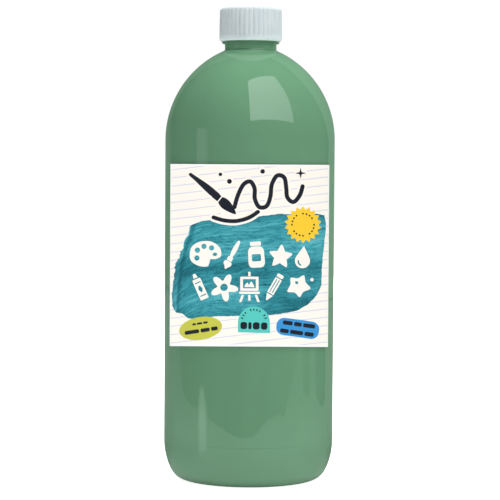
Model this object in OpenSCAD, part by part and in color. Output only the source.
// Paint bottle, one litre: a blown clear bottle with a 28 mm screw neck, filled
// with paint, closed by a ribbed screw cap with a foam liner, and dressed with a
// front and a back label.
// Units are millimetres, +Z up. The origin is the centre of the base, on the
// plane the bottle stands on. The front label faces -Y.

/* [Bottle] */
// Outside diameter of the straight body
body_d = 83.5; // [80:0.5:88]
// Height at which the straight wall turns into the shoulder
shoulder_z = 167.3; // [130:0.1:200]
// Radius of the shoulder's arc, a little more than the body's radius
shoulder_r = 47.9; // [46:0.1:50]
// Large radius of the heel, next to the straight wall
heel_large_r = 32.7; // [28:0.1:36]
// Small radius of the heel, next to the standing ring
heel_small_r = 8.4; // [6:0.1:10]
// Angle turned by the large heel radius before the small one takes over
heel_angle = 26.5; // [20:0.5:32]
// Wall thickness of the blown body
wall_t = 0.6; // [0.4:0.05:0.9]
// Inner radius of the flat standing ring
ring_r = 26.2; // [20:0.1:27]
// How far the centre of the base is pushed up
push_up = 5.4; // [3:0.1:8]

/* [Neck] */
// Outside diameter of the neck
neck_d = 25.42; // [25:0.02:25.6]
// Diameter of the mouth
bore_d = 21.7; // [20.5:0.1:22.4]
// Radius of the fillet between neck and shoulder
neck_fillet = 0.9; // [0.5:0.1:1.4]
// Height of the bead's underside above the lowest point of the fillet's circle
bead_gap = 3.65; // [2:0.05:4]
// Diameter of the bead below the cap
bead_d = 28.14; // [27.4:0.02:28.6]
// Height of the bead
bead_h = 0.8; // [0.6:0.05:1]
// Height from the bead's underside to the sealing face
finish_h = 14.5; // [14.3:0.1:15.5]

/* [Thread] */
// Turns of thread on the neck
neck_turns = 1.5; // [1:0.25:1.75]
// Turns of thread inside the cap
cap_turns = 1.5; // [1:0.25:1.5]
// Diameter over the neck's thread
neck_thread_d = 27.3; // [27:0.05:27.4]
// Diameter inside the cap's thread
cap_thread_d = 25.96; // [25.9:0.02:26.2]

/* [Cap] */
// Diameter of the cap at its plain rim
cap_d = 30.9; // [30.7:0.05:31.4]
// Diameter of the cap at its top
cap_top_d = 30.44; // [30.4:0.02:30.9]
// Bore of the cap above and below its thread
cap_bore_d = 28; // [27.9:0.05:28.1]
// Thickness of the cap's top
cap_top_t = 1.5; // [1.2:0.1:2]
// Gap between the cap's rim and the neck bead
rim_gap = 0.2; // [0.15:0.05:0.4]
// Height of the plain rim below the ribs
rim_h = 2.1; // [1.6:0.1:3]
// Number of grip ribs
ribs = 40; // [30:1:48]
// Depth of the grooves between the ribs
groove_depth = 0.3; // [0.15:0.05:0.4]
// Radius of the cutter that leaves the grooves
groove_r = 0.62; // [0.5:0.02:0.7]

/* [Liner] */
// Diameter of the foam liner
liner_d = 27.6; // [27:0.1:27.7]
// Thickness of the foam liner
liner_t = 1.2; // [1:0.1:1.6]

/* [Labels] */
// Thickness of the label film
label_t = 0.1; // [0.06:0.01:0.2]
// Lower edge of both labels above the standing plane
label_z = 69.0; // [40:0.1:75]
// Height of both labels
label_h = 86.4; // [60:0.1:90]
// Angle the front label wraps
front_wrap = 134.4; // [90:0.1:150]
// Angle the back label wraps
back_wrap = 104; // [80:1:120]

/* [Paint] */
// Height of the paint's surface in the neck above the bead's underside
fill_above_bead = 6; // [2:0.5:12]
// Gap between the paint and the wall
paint_gap = 0.1; // [0.05:0.01:0.2]

/* [Hidden] */
$fn = 96;

body_r = body_d / 2;
neck_r = neck_d / 2;
bore_r = bore_d / 2;
bead_r = bead_d / 2;
cap_r = cap_d / 2;
cap_top_r = cap_top_d / 2;
cap_bore_r = cap_bore_d / 2;

// The shoulder's arc is tangent to the straight wall, so its centre lies
// shoulder_r inside the wall, at the height where the wall ends.
shoulder_centre_r = body_r - shoulder_r;
// The two heel arcs are tangent to the wall, to each other and to the ring.
heel_h = heel_small_r + (heel_large_r - heel_small_r) * sin(heel_angle);
ring_outer_r = body_r - heel_large_r + (heel_large_r - heel_small_r) * cos(heel_angle);
// The large heel arc's points start past the joint, which the small arc holds.
joint_skip = 2;
// The pushed-up base is part of a sphere.
push_r = (ring_r * ring_r + push_up * push_up) / (2 * push_up);
push_centre_z = push_up - push_r;
// The neck's fillet touches the neck and the shoulder's arc from outside.
fillet_centre_r = neck_r + neck_fillet;
fillet_reach = fillet_centre_r - shoulder_centre_r;
fillet_z = shoulder_z + sqrt(pow(shoulder_r + neck_fillet, 2) - pow(fillet_reach, 2));
fillet_angle = atan2(fillet_z - shoulder_z, fillet_reach);

bead_z = fillet_z + bead_gap - neck_fillet;
bead_top_z = bead_z + bead_h;
mouth_z = bead_z + finish_h;

// Clearance above and below the liner
liner_gap = 0.01;
cap_z = bead_top_z + rim_gap;
cap_ceiling_z = mouth_z + liner_t + 2 * liner_gap;
cap_top_z = cap_ceiling_z + cap_top_t;
cap_h = cap_top_z - cap_z;

// Rise of the thread in one turn: six turns to the inch, as on every closure of
// this neck size, so it isn't a free choice.
pitch = 25.4 / 6;
// The neck's thread ends this far below the mouth.
neck_thread_drop = 2.6;
neck_thread_z = mouth_z - neck_thread_drop - pitch * neck_turns;
// Height of the start of the cap's thread above the rim
cap_thread_rise = 2.3;
cap_thread_z = cap_z + cap_thread_rise;
// The cap's thread runs this far below the neck's, on the same lead.
thread_offset = 1.62;

// Gap between the body and the label film
label_gap = 0.02;
label_color = [0.99, 0.97, 0.92];

function reversed(list) = [for (i = [len(list) - 1:-1:0]) list[i]];

// Points on an arc about [x, z], from angle start to angle end.
function arc(x, z, r, start, end, steps) =
    [for (i = [0:steps])
        let (angle = start + (end - start) * i / steps)
        [x + r * cos(angle), z + r * sin(angle)]];

// The body's profile offset inwards by inset, from the axis at the base to the
// end of the shoulder at radius end_r. Offsetting keeps every arc's centre.
function body_profile(inset, end_r) =
    let (ring_angle = asin((inset - push_centre_z) / (push_r + inset)),
         end_angle = acos((end_r - shoulder_centre_r) / (shoulder_r - inset)))
    concat(
        arc(0, push_centre_z, push_r + inset, 90, ring_angle, 10),
        arc(ring_outer_r, heel_small_r, heel_small_r - inset, -90, -heel_angle, 10),
        arc(body_r - heel_large_r, heel_h, heel_large_r - inset,
            -heel_angle + joint_skip, 0, 10),
        arc(shoulder_centre_r, shoulder_z, shoulder_r - inset, 0, end_angle, 30));

// A trapezoid ridge along a helix, from radius root to radius crest. It faces
// outwards if root < crest, else inwards. root_half and crest_half are half its
// height at each. At both ends the crest runs out to radius sunk, in the wall.
module helical_ridge(root, crest, sunk, root_half, crest_half, turns) {
    steps_per_turn = 36;
    run_out_steps = 3;
    end_half = 0.35; // half the crest's height at the ends
    steps = ceil(turns * steps_per_turn);
    points = [for (i = [0:steps])
        let (angle = 360 * turns * i / steps,
             z = pitch * turns * i / steps,
             full = min(1, i / run_out_steps, (steps - i) / run_out_steps),
             tip = sunk + (crest - sunk) * full,
             half = end_half + (crest_half - end_half) * full)
        for (p = [[root, -root_half], [tip, -half], [tip, half], [root, root_half]])
            [p[0] * cos(angle), p[0] * sin(angle), z + p[1]]];
    // Four corners to a section; each pair of sections is joined by triangles.
    sides = [for (i = [0:steps - 1]) for (j = [0:3])
        let (near = 4 * i + j, next = 4 * i + (j + 1) % 4)
        for (face = [[near, next, next + 4], [near, next + 4, near + 4]]) face];
    last = 4 * steps;
    ends = [[0, 3, 2], [0, 2, 1],
            [last, last + 1, last + 2], [last, last + 2, last + 3]];
    outward = concat(sides, ends);
    // An inward ridge mirrors the section, so its faces turn the other way.
    faces = root < crest ? outward : [for (face = outward) reversed(face)];
    polyhedron(points = points, faces = faces, convexity = 8);
}

// Film around the body, centred on the direction at angle facing.
module label_film(angle, facing) {
    rotate([0, 0, facing - angle / 2])
        rotate_extrude(angle = angle)
            translate([body_r + label_gap, label_z]) square([label_t, label_h]);
}

// Blown bottle: body, shoulder, neck finish, mouth and thread.
module bottle() {
    lip_bevel = 0.4;
    bore_bevel = 0.2;
    bead_top_bevel = 0.25;
    bead_low_bevel = [0.12, 0.15]; // radial, vertical
    outside = concat(
        body_profile(0, shoulder_centre_r + shoulder_r * cos(fillet_angle)),
        arc(fillet_centre_r, fillet_z, neck_fillet, 180 + fillet_angle, 180, 5),
        // Bead
        [[neck_r, bead_z],
         [bead_r - bead_low_bevel[0], bead_z],
         [bead_r, bead_z + bead_low_bevel[1]],
         [bead_r, bead_top_z - bead_top_bevel],
         [bead_r - bead_top_bevel, bead_top_z],
         [neck_r, bead_top_z]],
        // Lip
        [[neck_r, mouth_z - lip_bevel],
         [neck_r - lip_bevel, mouth_z],
         [bore_r + bore_bevel, mouth_z],
         [bore_r, mouth_z - bore_bevel]]);
    color([0.85, 0.90, 0.88, 0.35])
    union() {
        rotate_extrude() polygon(concat(outside, reversed(body_profile(wall_t, bore_r))));
        translate([0, 0, neck_thread_z])
            helical_ridge(root = neck_r - 0.5, crest = neck_thread_d / 2,
                sunk = neck_r - 0.12, root_half = 1.25, crest_half = 0.5,
                turns = neck_turns);
    }
}

// Paint: it fills the bottle up into the neck.
module paint() {
    level = bead_z + fill_above_bead;
    paint_r = bore_r - paint_gap;
    side = body_profile(wall_t + paint_gap, paint_r);
    color([0.39, 0.58, 0.45])
    rotate_extrude() polygon(concat(side, [[paint_r, level], [0, level]]));
}

// Half-section of the cap without grooves and thread. lean is the angle at
// which the skirt's outside leans in towards the top.
function cap_profile(lean) =
    let (round_r = 1.3, // top edge
         rim_bevel = 0.35, // inner edge of the rim
         seat_r = cap_bore_r - 0.1, // wall around the liner
         lip_r = cap_bore_r - 0.42, // inward lip below the liner
         seat_z = cap_ceiling_z - liner_t)
    concat(
        // Rim, then the rounded top edge
        [[cap_bore_r + rim_bevel, cap_z],
         [cap_r - 1.0, cap_z],
         [cap_r - 0.25, cap_z + 0.75],
         [cap_r, cap_z + 1.35],
         [cap_r, cap_z + rim_h]],
        arc(cap_top_r - round_r, cap_top_z - round_r, round_r, lean, 90, 8),
        // Inside, from the axis down to the rim
        [[0, cap_top_z],
         [0, cap_ceiling_z],
         [seat_r, cap_ceiling_z],
         [seat_r, seat_z - 0.05],
         [lip_r, seat_z - 0.3],
         [cap_bore_r, seat_z - 0.9],
         [cap_bore_r, cap_z + rim_bevel]]);

// Screw cap: ribbed skirt with a plain rim, closed top and internal thread.
module cap() {
    lean = atan2(cap_r - cap_top_r, cap_h - rim_h);
    groove_at = cap_r + groove_r - groove_depth;
    // This turn puts the ridge on the neck thread's lead.
    thread_turn = 360 * (cap_thread_z - neck_thread_z + thread_offset) / pitch;
    color([0.88, 0.90, 0.91])
    union() {
        difference() {
            rotate_extrude() polygon(cap_profile(lean));
            for (i = [0:ribs - 1])
                rotate([0, 0, (i + 0.5) * 360 / ribs])
                    translate([groove_at, 0, cap_z + rim_h])
                        rotate([0, -lean, 0])
                            cylinder(r = groove_r, h = cap_h, $fn = 48);
        }
        translate([0, 0, cap_thread_z])
            rotate([0, 0, thread_turn])
                helical_ridge(root = cap_bore_r + 0.4, crest = cap_thread_d / 2,
                    sunk = cap_bore_r + 0.12, root_half = 1.0, crest_half = 0.42,
                    turns = cap_turns);
    }
}

// Foam liner: the disc that seals the mouth.
module cap_liner() {
    color([0.96, 0.96, 0.94])
    translate([0, 0, mouth_z + liner_gap]) cylinder(d = liner_d, h = liner_t);
}

// Front label: a film that wraps most of the front.
module front_label() {
    color(label_color) label_film(front_wrap, -90);
}

// Back label: the same film, narrower.
module back_label() {
    color(label_color) label_film(back_wrap, 90);
}

bottle();
paint();
cap();
cap_liner();
front_label();
back_label();
